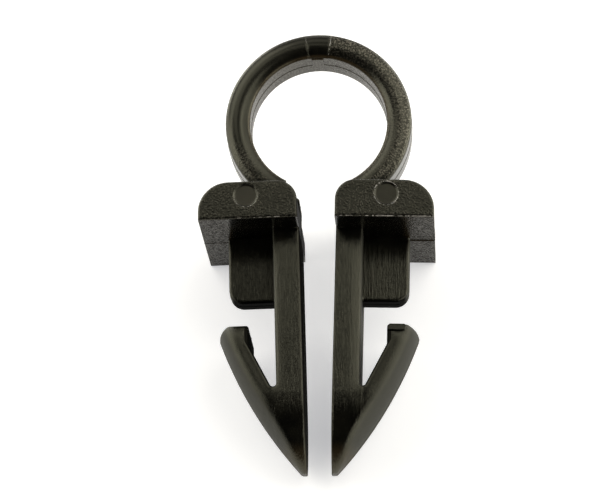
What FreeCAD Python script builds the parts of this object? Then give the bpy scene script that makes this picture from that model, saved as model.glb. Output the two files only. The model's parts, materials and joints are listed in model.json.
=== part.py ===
"""Wire routing clip: one nylon moulding, with a ring for the wires and two legs that snap into a panel.

The clip is drawn in its own axes: X across it, Y from the barbs to the ring, Z out of its front face.
Y = 0 is the seat, where the feet sit on the panel, and Z = 0 is the plane where the mould parts.
Only the right half is drawn, and the left half is its mirror image. Each half's foot, web and leg are
toed in by turning them about the ring's centre. At the end the clip is laid on its back, as it
comes to rest on a table, with Z up.
"""
import FreeCAD
import Part
import math
import os
from types import SimpleNamespace

import Sketcher

NODE = "routing_clip"
# How closely the points that the clip is laid down by follow its curves, in mm
TESSELLATION = 0.05
# Places closer together than this are the same place, in mm
SAME_PLACE = 0.01
# The turned features, in degrees: half the ring, and a cut that reaches past both faces of the leg
HALF_TURN = 180
BARB_TURN = 120

SIZES = (
    # The ring, which the wires run through
    ("bore_radius", 6.0),
    ("ring_wall", 2.15),
    ("ring_wall_depth", 3.6),
    ("ring_crown", 0.4),
    ("ring_edge_round", 0.2),
    ("ring_rise", 10.15),
    # How far each half turns in about the ring's centre, in degrees
    ("toe_in", 1.5),
    # From the half's own centre line to the face that meets the other half
    ("mating_offset", 1.85),
    # The rounded end of the ring, where it turns down to the mating face
    ("ring_end_round", 2.2),
    # The feet, which sit on the panel
    ("foot_width", 8.45),
    ("foot_height", 3.3),
    ("foot_depth", 14.1),
    ("foot_outer_round", 2.6),
    ("foot_inner_round", 1.7),
    ("foot_edge_round", 0.15),
    # The webs, which fill the width of the panel's hole
    ("web_reach", 6.3),
    ("web_drop", 5.85),
    ("web_depth", 2.25),
    ("web_corner_round", 1.2),
    ("web_edge_round", 0.2),
    # The legs and the barbs that spring out behind the panel
    ("leg_thickness", 2.3),
    ("leg_depth", 7.65),
    ("leg_edge_round", 0.2),
    ("mating_edge_round", 0.12),
    ("barb_reach", 7.4),
    ("barb_drop", 8.5),
    ("barb_thickness", 2.85),
    ("barb_end_height", 1.8),
    ("barb_corner_round", 0.45),
    ("barb_end_round", 0.2),
    ("crotch_drop", 14.85),
    ("crotch_round", 0.28),
    # The arrowhead: its bowed outer side, its crowned section and its nose
    ("tip_drop", 20.9),
    ("tip_width", 0.5),
    ("bow_radius", 37.0),
    ("crown_radius", 10.0),
    ("bow_edge_round", 0.42),
    # From the slot's rounded end behind the barb to where the nose starts to taper
    ("nose_start_drop", 0.57),
    ("nose_tip_depth", 1.2),
    # The marks that the mould's ejector pins leave
    ("pin_radius", 1.0),
    ("pin_mark_depth", 0.1),
    ("foot_pin_offset", 4.35),
    ("foot_pin_rise", 2.05),
    # How far the mark on the ring reaches to each side of its top, in degrees
    ("ring_mark_turn", 8.1),
    # The most of a wall that its rounded edges may take, as a share for each edge
    ("edge_round_share", 0.35),
    # How far one feature is sunk into the next so that they join
    ("overlap", 0.6),
    # How far a cut runs past the solid
    ("clear_of", 2.0),
)

doc = FreeCAD.newDocument("RoutingClip")


class Size:
    """A number, with the expression that works it out from the sheet."""

    def __init__(self, value, text):
        self.value = value
        self.text = text

    def join(self, other, sign, value):
        return Size(value, f"({self.text} {sign} {as_size(other).text})")

    def __add__(self, other):
        return self.join(other, "+", self.value + as_size(other).value)

    def __sub__(self, other):
        return self.join(other, "-", self.value - as_size(other).value)

    def __mul__(self, other):
        return self.join(other, "*", self.value * as_size(other).value)

    def __truediv__(self, other):
        return self.join(other, "/", self.value / as_size(other).value)

    def __neg__(self):
        return Size(-self.value, f"(-1 * {self.text})")


def as_size(value):
    return value if isinstance(value, Size) else Size(float(value), str(value))


def root(amount):
    return Size(math.sqrt(amount.value), f"sqrt({amount.text})")


def smaller(first, second):
    return Size(min(first.value, second.value), f"min({first.text}; {second.text})")


def make_sheet():
    """Write the driving sizes to the document's sheet and give them back by name."""
    sheet = doc.addObject("Spreadsheet::Sheet", "Sizes")
    for row, (alias, value) in enumerate(SIZES, start=1):
        sheet.set(f"A{row}", alias)
        sheet.set(f"B{row}", str(value))
        sheet.setAlias(f"B{row}", alias)
    doc.recompute()
    return SimpleNamespace(**{alias: Size(sheet.get(alias), f"Sizes.{alias}") for alias, value in SIZES})


size = make_sheet()
ZERO = as_size(0)
body = doc.addObject("PartDesign::Body", NODE)
body.Label = NODE


def origin_plane(role):
    return next(plane for plane in body.Origin.OriginFeatures if plane.Role == role)


def new_sketch(name, role="XY_Plane"):
    sketch = body.newObject("Sketcher::SketchObject", name)
    sketch.AttachmentSupport = [(origin_plane(role), "")]
    sketch.MapMode = "FlatFace"
    return sketch


def toed_sketch(name, height=ZERO):
    """A sketch in the right half's own X and Y, which are turned in about the ring's centre."""
    sketch = new_sketch(name)
    sketch.AttachmentOffset = FreeCAD.Placement(
        FreeCAD.Vector(0, 0, height.value), FreeCAD.Rotation(FreeCAD.Vector(0, 0, -1), size.toe_in.value)
    )
    sketch.setExpression("AttachmentOffset.Rotation.Angle", "Sizes.toe_in * 1 deg")
    sketch.setExpression("AttachmentOffset.Base.x", "-Sizes.ring_rise * sin(Sizes.toe_in)")
    sketch.setExpression("AttachmentOffset.Base.y", "Sizes.ring_rise * (1 - cos(Sizes.toe_in))")
    sketch.setExpression("AttachmentOffset.Base.z", height.text)
    return sketch


def toed_side_sketch(name):
    """A sketch in the right half's own Y and Z, seen from its side."""
    sketch = new_sketch(name, "YZ_Plane")
    sketch.AttachmentOffset = FreeCAD.Placement(
        FreeCAD.Vector(0, 0, 0), FreeCAD.Rotation(FreeCAD.Vector(0, -1, 0), size.toe_in.value)
    )
    sketch.setExpression("AttachmentOffset.Rotation.Angle", "Sizes.toe_in * 1 deg")
    sketch.setExpression("AttachmentOffset.Base.x", "Sizes.ring_rise * (1 - cos(Sizes.toe_in))")
    sketch.setExpression("AttachmentOffset.Base.z", "-Sizes.ring_rise * sin(Sizes.toe_in)")
    return sketch


def flat(x, y):
    return FreeCAD.Vector(x, y, 0)


def bind(sketch, constraint, amount):
    index = sketch.addConstraint(constraint)
    sketch.setExpression(f"Constraints[{index}]", amount.text)


def place(sketch, geometry, end, x, y):
    """Hold one point of a sketch at (x, y)."""
    origin = (-1, 1)
    for kind, axis, amount in (("DistanceX", -2, x), ("DistanceY", -1, y)):
        if amount.value == 0:
            sketch.addConstraint(Sketcher.Constraint("PointOnObject", geometry, end, axis))
        elif amount.value > 0:
            bind(sketch, Sketcher.Constraint(kind, *origin, geometry, end, amount.value), amount)
        else:
            bind(sketch, Sketcher.Constraint(kind, geometry, end, *origin, -amount.value), -amount)


def rounded_corner(before, corner, after, radius):
    """The two ends, the centre and the turn of an arc that rounds a corner."""
    towards = (before - corner).normalize()
    onwards = (after - corner).normalize()
    half_angle = towards.getAngle(onwards) / 2
    reach = radius / math.tan(half_angle)
    centre = corner + (towards + onwards).normalize() * (radius / math.sin(half_angle))
    left_turn = (corner - before).cross(after - corner).z > 0
    return corner + towards * reach, corner + onwards * reach, centre, left_turn


def outline(sketch, corners):
    """Draw a closed outline of straight sides. Each corner is (x, y) or (x, y, radius)."""
    points = [flat(corner[0].value, corner[1].value) for corner in corners]
    count = len(corners)
    starts = list(points)
    ends = list(points)
    arcs = {}
    for i, corner in enumerate(corners):
        if len(corner) == 3:
            ends[i], starts[i], centre, left_turn = rounded_corner(
                points[i - 1], points[i], points[(i + 1) % count], corner[2].value
            )
            first, last = (ends[i], starts[i]) if left_turn else (starts[i], ends[i])
            circle = Part.Circle(centre, FreeCAD.Vector(0, 0, 1), corner[2].value)
            arcs[i] = (Part.ArcOfCircle(circle, circle.parameter(first), circle.parameter(last)), left_turn)
    sides = [sketch.addGeometry(Part.LineSegment(starts[i], ends[(i + 1) % count])) for i in range(count)]
    for i, corner in enumerate(corners):
        before, after = sides[i - 1], sides[i]
        if i not in arcs:
            sketch.addConstraint(Sketcher.Constraint("Coincident", before, 2, after, 1))
            place(sketch, after, 1, corner[0], corner[1])
            continue
        arc = sketch.addGeometry(arcs[i][0])
        first, last = (1, 2) if arcs[i][1] else (2, 1)
        sketch.addConstraint(Sketcher.Constraint("Tangent", before, 2, arc, first))
        sketch.addConstraint(Sketcher.Constraint("Tangent", after, 1, arc, last))
        bind(sketch, Sketcher.Constraint("Radius", arc, corner[2].value), corner[2])
        point = sketch.addGeometry(Part.Point(points[i]), True)
        place(sketch, point, 1, corner[0], corner[1])
        sketch.addConstraint(Sketcher.Constraint("PointOnObject", point, 1, before))
        sketch.addConstraint(Sketcher.Constraint("PointOnObject", point, 1, after))


def chain(sketch, points, arcs):
    """Draw a closed outline. The side from point i is straight, or an arc where arcs[i] gives its radius.

    A radius comes with 1 where the side bows out to the left of its own direction, and -1 to the right.
    """
    flats = [flat(x.value, y.value) for x, y in points]
    sides = []
    for i, start in enumerate(flats):
        end = flats[(i + 1) % len(flats)]
        if i in arcs:
            radius, bow = arcs[i]
            half = (end - start) / 2
            sag = radius.value - math.sqrt(radius.value**2 - half.Length**2)
            middle = start + half + flat(-half.y, half.x).normalize() * sag * bow
            side = sketch.addGeometry(Part.Arc(start, middle, end))
            bind(sketch, Sketcher.Constraint("Radius", side, radius.value), radius)
            sides.append((side, bow < 0))
        else:
            sides.append((sketch.addGeometry(Part.LineSegment(start, end)), True))
    for i, (x, y) in enumerate(points):
        before, before_forward = sides[i - 1]
        after, after_forward = sides[i]
        last = 2 if before_forward else 1
        first = 1 if after_forward else 2
        sketch.addConstraint(Sketcher.Constraint("Coincident", before, last, after, first))
        place(sketch, after, first, x, y)


def upright_axis(sketch, x):
    """A construction line along the sketch's own Y, for a turned feature to turn about."""
    end = size.clear_of
    line = sketch.addGeometry(Part.LineSegment(flat(x.value, 0), flat(x.value, end.value)), True)
    place(sketch, line, 1, x, ZERO)
    place(sketch, line, 2, x, end)
    return (sketch, ["Axis0"])


def feature(kind, name, sketch):
    made = body.newObject(f"PartDesign::{kind}", name)
    made.Profile = sketch
    sketch.Visibility = False
    return made


def pad(name, sketch, depth):
    """Raise a sketch evenly to both sides of the parting plane."""
    made = feature("Pad", name, sketch)
    made.SideType = "Symmetric"
    made.Length = depth.value
    made.setExpression("Length", depth.text)
    return made


def cut_through(name, sketch):
    made = feature("Pocket", name, sketch)
    made.SideType = "Symmetric"
    made.Type = "ThroughAll"
    return made


def in_half_axes(point):
    """A point of the body in the right half's own axes, with the seat at Y = 0."""
    turn = math.radians(size.toe_in.value)
    rise = size.ring_rise.value
    x = point.x * math.cos(turn) - (point.y - rise) * math.sin(turn)
    y = point.x * math.sin(turn) + (point.y - rise) * math.cos(turn) + rise
    return FreeCAD.Vector(x, y, point.z)


def near(value, target):
    return abs(value - target) < SAME_PLACE


def edge_points(edge):
    """Five points along an edge, in the right half's own axes."""
    first, last = edge.ParameterRange
    return [in_half_axes(edge.valueAt(first + (last - first) * i / 4)) for i in range(5)]


def fillet(name, radius, chosen):
    """Round those edges of the body so far whose points the test chooses."""
    doc.recompute()
    base = body.Tip
    edges = [f"Edge{i}" for i, edge in enumerate(base.Shape.Edges, start=1) if chosen(edge_points(edge))]
    made = body.newObject("PartDesign::Fillet", name)
    made.Base = (base, edges)
    made.Radius = radius.value
    made.setExpression("Radius", radius.text)
    return made


def bow_radius_of(half_width, rise):
    """The radius of an arc that rises by the given height at the middle of its chord."""
    return (half_width * half_width + rise * rise) / (rise * 2)


def make_ring():
    """Half the ring: flat inner and outer walls, with bowed faces to the front and the back."""
    half_wall = size.ring_wall / 2
    middle = size.ring_rise + size.bore_radius + half_wall
    crown = bow_radius_of(half_wall, size.ring_crown)
    crown_centre = size.ring_wall_depth / 2 + size.ring_crown - crown
    # The rounding of each edge touches the wall at one height and the bowed face at another
    inside = crown - size.ring_edge_round
    aside = half_wall - size.ring_edge_round
    rise = root(inside * inside - aside * aside)
    wall_end = crown_centre + rise
    face_end = crown_centre + rise * crown / inside
    face_half = aside * crown / inside
    sketch = new_sketch("ring_section", "YZ_Plane")
    chain(
        sketch,
        [
            (middle - half_wall, -wall_end),
            (middle - face_half, -face_end),
            (middle + face_half, -face_end),
            (middle + half_wall, -wall_end),
            (middle + half_wall, wall_end),
            (middle + face_half, face_end),
            (middle - face_half, face_end),
            (middle - half_wall, wall_end),
        ],
        {
            0: (size.ring_edge_round, -1),
            1: (crown, -1),
            2: (size.ring_edge_round, -1),
            4: (size.ring_edge_round, -1),
            5: (crown, -1),
            6: (size.ring_edge_round, -1),
        },
    )
    ring = feature("Revolution", "ring", sketch)
    ring.ReferenceAxis = upright_axis(sketch, size.ring_rise)
    ring.Angle = HALF_TURN
    ring.Reversed = True


def make_foot():
    sketch = toed_sketch("foot_outline")
    inner = size.mating_offset
    outer = inner + size.foot_width
    outline(
        sketch,
        [
            (inner, ZERO),
            (outer, ZERO),
            (outer, size.foot_height, size.foot_outer_round),
            (inner, size.foot_height, size.foot_inner_round),
        ],
    )
    pad("foot", sketch, size.foot_depth)
    face = size.foot_depth.value / 2
    fillet("foot_edges", size.foot_edge_round, lambda points: all(near(abs(p.z), face) for p in points))


def make_ring_root():
    """The straight end of the ring, which runs down into the foot and stays inside the ring's outline."""
    sketch = toed_sketch("ring_root_outline")
    inner = size.mating_offset
    outer = inner + size.ring_wall
    top = size.ring_rise - size.bore_radius - size.ring_wall / 2
    outline(sketch, [(inner, size.overlap), (outer, size.overlap), (outer, top), (inner, top)])
    pad("ring_root", sketch, size.ring_wall_depth - size.ring_edge_round * 2)


def trim_ring_end():
    """Cut the ring off at the mating face, with its corner rounded into the bore."""
    span = size.bore_radius + size.ring_end_round
    across = size.mating_offset + size.ring_end_round
    down = root(span * span - across * across)
    share = size.bore_radius / span
    touch = (across * share, size.ring_rise - down * share)
    turn = (size.mating_offset, size.ring_rise - down)
    sketch = toed_sketch("ring_gap")
    chain(
        sketch,
        [
            touch,
            turn,
            (size.mating_offset, -size.clear_of),
            (-size.clear_of, -size.clear_of),
            (-size.clear_of, size.ring_rise),
            (ZERO, size.ring_rise),
        ],
        {0: (size.ring_end_round, 1)},
    )
    cut_through("ring_end", sketch)


def make_web():
    sketch = toed_sketch("web_outline")
    inner = size.mating_offset + size.overlap
    outer = size.mating_offset + size.web_reach
    outline(
        sketch,
        [
            (inner, -size.web_drop),
            (outer, -size.web_drop, size.web_corner_round),
            (outer, size.overlap),
            (inner, size.overlap),
        ],
    )
    pad("web", sketch, size.web_depth)


def make_leg():
    """The leg, with the barb as a plain block whose outer side is cut to shape afterwards."""
    sketch = toed_sketch("leg_outline")
    mating = size.mating_offset
    leg = mating + size.leg_thickness
    barb = mating + size.barb_reach - size.barb_thickness
    block = mating + size.barb_reach + size.clear_of
    outline(
        sketch,
        [
            (mating, size.overlap),
            (mating, -size.tip_drop),
            (block, -size.tip_drop),
            (block, -size.barb_drop),
            (barb, -size.barb_drop, size.barb_end_round),
            (barb, -size.barb_drop - size.barb_end_height),
            (leg, -size.crotch_drop, size.crotch_round),
            (leg, size.overlap),
        ],
    )
    pad("leg", sketch, size.leg_depth)


def shape_barb():
    """Bow the outer side of the barb and the arrowhead, and crown it from front to back."""
    top = (size.mating_offset + size.barb_reach, -size.barb_drop)
    tip = (size.mating_offset + size.tip_width, -size.tip_drop)
    above = top[1] + size.clear_of / 2
    below = tip[1] - size.clear_of
    outside = top[0] + size.clear_of * 2
    sketch = toed_sketch("bow_outline")
    chain(
        sketch,
        [top, tip, (tip[0], below), (outside, below), (outside, above), (top[0], above)],
        {0: (size.bow_radius, 1)},
    )
    bow = feature("Groove", "bow", sketch)
    bow.ReferenceAxis = upright_axis(sketch, top[0] - size.crown_radius)
    bow.Midplane = True
    bow.Angle = BARB_TURN


def slot_end():
    """The height of the rounded end of the slot between the leg and the barb."""
    across = size.barb_reach - size.barb_thickness - size.leg_thickness
    down = size.crotch_drop - size.barb_drop - size.barb_end_height
    corner_length = size.crotch_round * across / (root(across * across + down * down) - down)
    return corner_length - size.crotch_round - size.crotch_drop


def outer_side(height, depth):
    """How far out the bowed and crowned outer side of the barb lies, at a height and a depth."""
    top = size.mating_offset + size.barb_reach
    tip = size.mating_offset + size.tip_width
    half_across = (top - tip) / 2
    half_down = (size.tip_drop - size.barb_drop) / 2
    half_chord = root(half_across * half_across + half_down * half_down)
    inset = root(size.bow_radius * size.bow_radius - half_chord * half_chord) / half_chord
    centre_x = (top + tip) / 2 - half_down * inset
    above_centre = height + (size.barb_drop + size.tip_drop) / 2 - half_across * inset
    middle = centre_x + root(size.bow_radius * size.bow_radius - above_centre * above_centre)
    crown_axis = top - size.crown_radius
    crown = middle - crown_axis
    return crown_axis + root(crown * crown - depth * depth)


def wall_at_slot_end():
    """The wall left on the leg's front, beside the slot's end."""
    outer = outer_side(slot_end(), size.leg_depth / 2)
    return outer - size.mating_offset - size.leg_thickness - size.crotch_round * 2


def shape_nose():
    """Taper the arrowhead towards its tip, from the front and from the back."""
    start = slot_end() - size.nose_start_drop
    end = -size.tip_drop
    past = end - size.clear_of
    sketch = toed_side_sketch("nose_outline")
    for side in (1, -1):
        full = size.leg_depth / 2 * side
        thin = size.nose_tip_depth / 2 * side
        wide = full + size.clear_of * side
        taper = bow_radius_of(start - end, size.leg_depth / 2 - size.nose_tip_depth / 2)
        chain(
            sketch,
            [(start, full), (end, thin), (past, thin), (past, wide), (start, wide)],
            {0: (taper, -side)},
        )
    cut_through("nose", sketch)


def round_leg_edges():
    """Round the barb's outer corner, then the edges of the web, the bow, the leg and the mating face."""
    leg_face = size.leg_depth.value / 2
    web_face = size.web_depth.value / 2
    mating = size.mating_offset.value
    nose_start = slot_end() - size.nose_start_drop
    wall = smaller(wall_at_slot_end(), size.nose_tip_depth)
    leg_edge_round = smaller(size.leg_edge_round, wall * size.edge_round_share)
    bow_edge_round = smaller(size.bow_edge_round, wall * size.edge_round_share)
    barb_middle = mating + size.barb_reach.value - size.barb_thickness.value / 2

    def is_barb_corner(points):
        at_end = all(near(p.y, -size.barb_drop.value) and p.x > barb_middle for p in points)
        return at_end and not near(points[0].z, points[-1].z)

    def is_web_edge(points):
        return all(near(abs(p.z), web_face) and p.y < 0 for p in points)

    def is_bow_edge(points):
        on_face = all(near(abs(p.z), leg_face) and p.y < -size.barb_drop.value for p in points)
        return on_face and all(near(p.x, outer_side(as_size(p.y), as_size(p.z)).value) for p in points)

    def is_leg_edge(points):
        on_face = all(near(abs(p.z), leg_face) and p.y < SAME_PLACE for p in points)
        at_root = all(near(p.y, 0) for p in points)
        at_nose = all(near(p.y, nose_start.value) for p in points)
        return on_face and not at_root and not at_nose and not all(near(p.x, mating) for p in points)

    def is_mating_edge(points):
        on_face = all(near(p.x, mating) and p.y < SAME_PLACE for p in points)
        beside_middle = all(SAME_PLACE < abs(p.z) < leg_face + SAME_PLACE for p in points)
        return on_face and beside_middle and not near(points[0].y, points[-1].y)

    fillet("barb_corner", size.barb_corner_round, is_barb_corner)
    fillet("web_edges", size.web_edge_round, is_web_edge)
    fillet("bow_edges", bow_edge_round, is_bow_edge)
    fillet("leg_edges", leg_edge_round, is_leg_edge)
    fillet("mating_edges", size.mating_edge_round, is_mating_edge)


def mark_foot():
    """The shallow round mark of the ejector pin on the foot."""
    sketch = toed_sketch("foot_pin", size.foot_depth / 2)
    across = size.mating_offset + size.foot_pin_offset
    rise = size.foot_pin_rise
    circle = Part.Circle(flat(across.value, rise.value), FreeCAD.Vector(0, 0, 1), size.pin_radius.value)
    mark = sketch.addGeometry(circle)
    place(sketch, mark, 3, across, rise)
    bind(sketch, Sketcher.Constraint("Radius", mark, size.pin_radius.value), size.pin_radius)
    pocket = feature("Pocket", "foot_pin_mark", sketch)
    pocket.Length = size.pin_mark_depth.value
    pocket.setExpression("Length", size.pin_mark_depth.text)


def mark_ring():
    """The shallow mark of the ejector pin on the top of the ring, shaped to its bowed face."""
    half_wall = size.ring_wall / 2
    middle = size.ring_rise + size.bore_radius + half_wall
    crown = bow_radius_of(half_wall, size.ring_crown)
    crest = size.ring_wall_depth / 2 + size.ring_crown
    floor = crown - size.pin_mark_depth / 2
    side = crest - crown + root(floor * floor - half_wall * half_wall)
    above = crest + size.clear_of
    sketch = new_sketch("ring_mark_section", "YZ_Plane")
    chain(
        sketch,
        [
            (middle - half_wall, side),
            (middle + half_wall, side),
            (middle + half_wall, above),
            (middle - half_wall, above),
        ],
        {0: (floor, 1)},
    )
    mark = feature("Groove", "ring_mark", sketch)
    mark.ReferenceAxis = upright_axis(sketch, size.ring_rise)
    mark.Angle = size.ring_mark_turn.value
    mark.setExpression("Angle", f"{size.ring_mark_turn.text} * 1 deg")
    mark.Reversed = True


def mirror_half():
    doc.recompute()
    mirrored = body.newObject("PartDesign::Mirrored", "left_half")
    mirrored.TransformMode = "Whole shape"
    mirrored.MirrorPlane = (origin_plane("YZ_Plane"), [""])
    body.Tip = mirrored


def underside(points):
    """The lower edge of the points' outline as seen from the side, as (y, z) from low y to high."""
    lower = []
    for y, z in sorted({(point.y, point.z) for point in points}):
        while len(lower) > 1:
            (y1, z1), (y2, z2) = lower[-2:]
            if (y2 - y1) * (z - z1) - (z2 - z1) * (y - y1) > 0:
                break
            lower.pop()
        lower.append((y, z))
    return lower


def lay_down(solid):
    """The placement in which the clip lies on its back, with its middle over the origin.

    It rests on the widest pair of places that its centre of mass is between: feet and arrowheads.
    """
    centre = solid.CenterOfMass
    points = solid.tessellate(TESSELLATION)[0]
    lower = [FreeCAD.Vector(0, y, z) for y, z in underside(points)]
    spans = [(start, end - start) for start, end in zip(lower, lower[1:])]
    rests = [span for start, span in spans if 0 <= (centre - start).dot(span) <= span.dot(span)]
    widest = max(rests, key=lambda span: span.Length)
    turn = FreeCAD.Rotation(FreeCAD.Vector(1, 0, 0), -math.degrees(math.atan2(widest.z, widest.y)))
    turned = [turn.multVec(point) for point in points]
    along = [point.y for point in turned]
    low = min(point.z for point in turned)
    return FreeCAD.Placement(FreeCAD.Vector(0, -(min(along) + max(along)) / 2, -low), turn)


make_ring()
make_foot()
make_ring_root()
trim_ring_end()
make_web()
make_leg()
shape_barb()
shape_nose()
round_leg_edges()
mark_foot()
mark_ring()
mirror_half()
doc.recompute()
body.Placement = lay_down(body.Shape.Solids[0])
doc.recompute()

failed = [thing.Name for thing in doc.Objects if {"Invalid", "Error"} & set(thing.State)]
if failed:
    raise RuntimeError(f"these objects could not be built: {failed}")
if body.Shape.isNull() or not body.Shape.isValid() or len(body.Shape.Solids) != 1:
    raise RuntimeError("the clip is not one valid solid")
os.makedirs("parts", exist_ok=True)
body.Shape.exportStep(f"parts/{body.Label}.step")
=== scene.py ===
"""Finish the moulded wire routing clip: black nylon, the marks the mould left, and a small studio."""
import json
import math
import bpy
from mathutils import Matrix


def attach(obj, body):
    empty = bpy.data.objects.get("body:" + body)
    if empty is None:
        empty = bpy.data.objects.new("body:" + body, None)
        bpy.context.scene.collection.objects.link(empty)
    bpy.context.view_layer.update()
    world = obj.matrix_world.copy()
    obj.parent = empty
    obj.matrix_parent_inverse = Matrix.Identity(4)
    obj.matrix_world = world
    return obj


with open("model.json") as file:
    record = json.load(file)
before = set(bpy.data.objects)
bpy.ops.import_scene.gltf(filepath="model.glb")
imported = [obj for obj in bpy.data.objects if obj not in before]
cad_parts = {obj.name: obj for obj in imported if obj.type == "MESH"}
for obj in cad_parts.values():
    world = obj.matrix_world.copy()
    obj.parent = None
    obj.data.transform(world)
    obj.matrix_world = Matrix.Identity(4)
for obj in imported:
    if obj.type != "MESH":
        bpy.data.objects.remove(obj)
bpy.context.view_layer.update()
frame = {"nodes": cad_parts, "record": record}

from types import SimpleNamespace

import bmesh
import bpy
from bpy.props import FloatProperty, FloatVectorProperty, IntProperty, PointerProperty
from mathutils import Matrix, Vector
from mathutils.bvhtree import BVHTree

bl_info = {
    "name": "Routing clip finish",
    "version": (1, 0, 0),
    "blender": (4, 5, 0),
    "location": "3D View > Sidebar > Clip",
    "description": "Finishes a moulded wire routing clip and sets it in a small studio",
    "category": "Object",
}

CLIP_NODE = "routing_clip"
BODY = "root"
MM = 0.001
MOUNTS = {mount["name"]: mount for mount in frame["record"]["mounts"]}

# The clip's own sizes in millimetres: the ring, the feet's faces and outer ends, and their pin marks
RING_RISE = 10.15
BORE_RADIUS = 6.0
FOOT_FACE = 7.05
FOOT_OUTER = 10.3
PIN_RADIUS = 1.0
PIN_PLACE = (6.2, 2.05)
# The barbs' front, and their inner side, where the slot runs straight and then slants to the leg
BARB_FACE = 3.825
BARB_INNER = (6.4, -10.3)
SLOT_END = (4.15, -14.85)
# Each half is turned about the ring's centre by this angle
TOE_IN = math.radians(1.5)

# Where one part of the finish fades into the next, in millimetres: each pair is a fade's start and end.
# Across a half, out from the clip's middle
LEG_EDGE = (3.0, 3.3)
LEG_OUTER = (4.3, 4.6)
WING = (7.4, 8.4)
SEAT_CORNER = (2.3, 2.8)
WEB_CORNER_IN = (4.0, 4.1)
WEB_CORNER_OUT = (4.5, 4.6)
# Along a half, up from the seat
SEAT = (-0.3, -0.1)
LEG_TOP = (-3.0, -1.0)
WEB_LOW = (-6.6, -6.2)
WEB_END_LOW = (-7.0, -6.5)
WEB_END_TOP = (-4.6, -4.0)
WEB_CORNER_LOW = (-5.6, -5.4)
WEB_CORNER_TOP = (0.1, 0.2)
BARB_END = (-8.4, -8.2)
LEG_LOW = (-14.6, -14.0)
TIP = (-19.6, -18.4)
# From the seat, to either side of it
UNDERSIDE = (0.08, 0.14)
SEAT_CORNER_REACH = (0.4, 0.5)
# Along the whole clip, up from the seat
INNER_TOP = (3.2, 4.0)
RING_END = (4.4, 5.4)
RING_LOW = (6.5, 9.0)
# From the parting plane, to its front or back
FACE = (FOOT_FACE - 0.2, FOOT_FACE - 0.06)
WEB_FACE = (1.25, 1.6)
WEB_CORNER_DEPTH = (1.5, 1.6)
LEG_FACE = (2.0, 2.6)
SEAT_CORNER_DEPTH = (4.2, 4.6)
# To the right of the clip's middle
RIGHT_OF_MARK = (0.8, 1.1)
RIGHT_OF_RING = (-0.5, 0.5)
RIGHT_HALF = (-0.1, 0.1)
# From the ring's centre, from a pin mark's centre and from a barb's slot
BORE = (BORE_RADIUS + 0.05, BORE_RADIUS + 0.3)
RING_CROWN = (6.6, 7.4)
RING_RIM = (7.8, 8.2)
PIN_RIM = (PIN_RADIUS - 0.05, PIN_RADIUS)
PIN_DISC = (PIN_RADIUS - 0.2, PIN_RADIUS - 0.05)
PIN_DISH = (PIN_RADIUS - 0.14, PIN_RADIUS + 0.1)
HEAD_EDGE = (0.2, 1.1)

# How far a surface turns sideways, inwards and towards the tips where it counts as such
SIDEWAYS = (0.3, 0.9)
INWARDS = (0.4, 1.4)
TIPWARDS = (0.4, 0.8)
# Levels of the noise at the grain's peaks, its painted glints, the paler patches and the bends of the
# flash
GRAIN_PEAKS = (0.4, 0.62)
GRAIN_GLINTS = (0.44, 0.7)
PALE_PATCHES = (0.4, 0.7)
FLASH_BENDS = (0.35, 0.65)
NOISE_MIDDLE = 0.5

# How far the ring's grain shows: at the bore, what the crown adds and the rim takes, and the left's share
SPARKLE_BORE = 0.2
SPARKLE_CROWN = 0.8
SPARKLE_RIM = 0.6
SPARKLE_LEFT = 0.6
# How much each part has of the grain's relief, its painted glints, the painted warm reflection and the
# broad rounding
GRAIN_SHARES = {"on_face": 1.0, "sparkle": 0.7, "on_wing": 1.3, "in_bore": 0.8, "on_barb": 0.12}
GLINT_SHARES = {"sparkle": 1.0, "on_face": 0.18, "on_wing": 0.252}
BOUNCE_SHARES = {"on_wing": 0.8, "bore": 1.0, "on_tip": 0.4}
BROAD_SHARES = {"on_head": 1.0, "on_leg_edge": 0.45}
# How much matt black each part takes in the grain's pits and on its peaks: painted shade that blackens
# the inner walls and webs' ends and dims the undersides' and bore's reflections
MATT_SHADE_SHARES = {
    "on_wing": (0.38, 0.78),
    "bore": (0.2, 0.5),
    "inner_side": (0.9, 0.9),
    "web_end": (0.95, 0.95),
}
# The share of the grain's relief on smooth places, how streaks run on, and the share the barbs lose
SMOOTH_GRAIN = 0.1
STREAK_STRETCH = (1.0, 0.07, 1.0)
BARB_POLISH = 0.8
# Where the legs' and the webs' drafts begin, and the depth of the pin marks, in millimetres
LEG_DRAFT_START = -0.2
WEB_DRAFT_START = 4.1
PIN_DEPTH = 0.06
# What the patches and the pin marks add to the roughness, and how much painted sheen lightens the two pin
# marks' floors
PATCH_ROUGHNESS = 0.07
PIN_ROUGHNESS = 0.12
LEFT_PIN_SHEEN = 0.2
RIGHT_PIN_SHEEN = 0.11
NYLON_IOR = 1.5
BEVEL_SAMPLES = 12
# The flash where it isn't bent: the share of its colour, and its roughness there and where it is bent
UNBENT_FLASH = 0.35
FLASH_ROUGHNESS = (0.35, 0.55)

# Where the heavier ridge under the right foot begins and ends, and how much thicker it is
SEAT_RIDGE = (4.2, FOOT_OUTER - 0.1)
SEAT_RIDGE_SCALE = 2.6
# How near points of the clip and of its cut are merged, and how near the cut takes a point as lying on it
MERGED = 0.001 * MM
CUT_MERGED = 0.02 * MM
CUT_TOLERANCE = 0.0001 * MM
# A height in front of the whole clip, in millimetres
CLEAR_HEIGHT = 20.0
# The smallest sliver of flash beside the largest, across and along it
SMALLEST_SLIVER = (0.35, 0.15)
# The land on the right barb in that half's axes, its root below the barb's front, and how its top falls
LAND_OUTLINE = ((6.43, -8.75), (6.62, -8.53), (7.9, -8.53), (8.05, -8.7), (7.95, -9.12), (6.43, -9.12))
LAND_ROOT = 0.35
LAND_SLOPE = 0.25
LAND_ROUNDING = 0.07
# The strip inside the ring: its back and front, how far it is rooted in the ring, and its middle
STRIP_ENDS = (0.05, 1.62)
STRIP_ROOT = 0.1
STRIP_MIDDLE = -0.1
STRIP_COLUMNS = 6
STRIP_ROUNDING = 0.05

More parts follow.
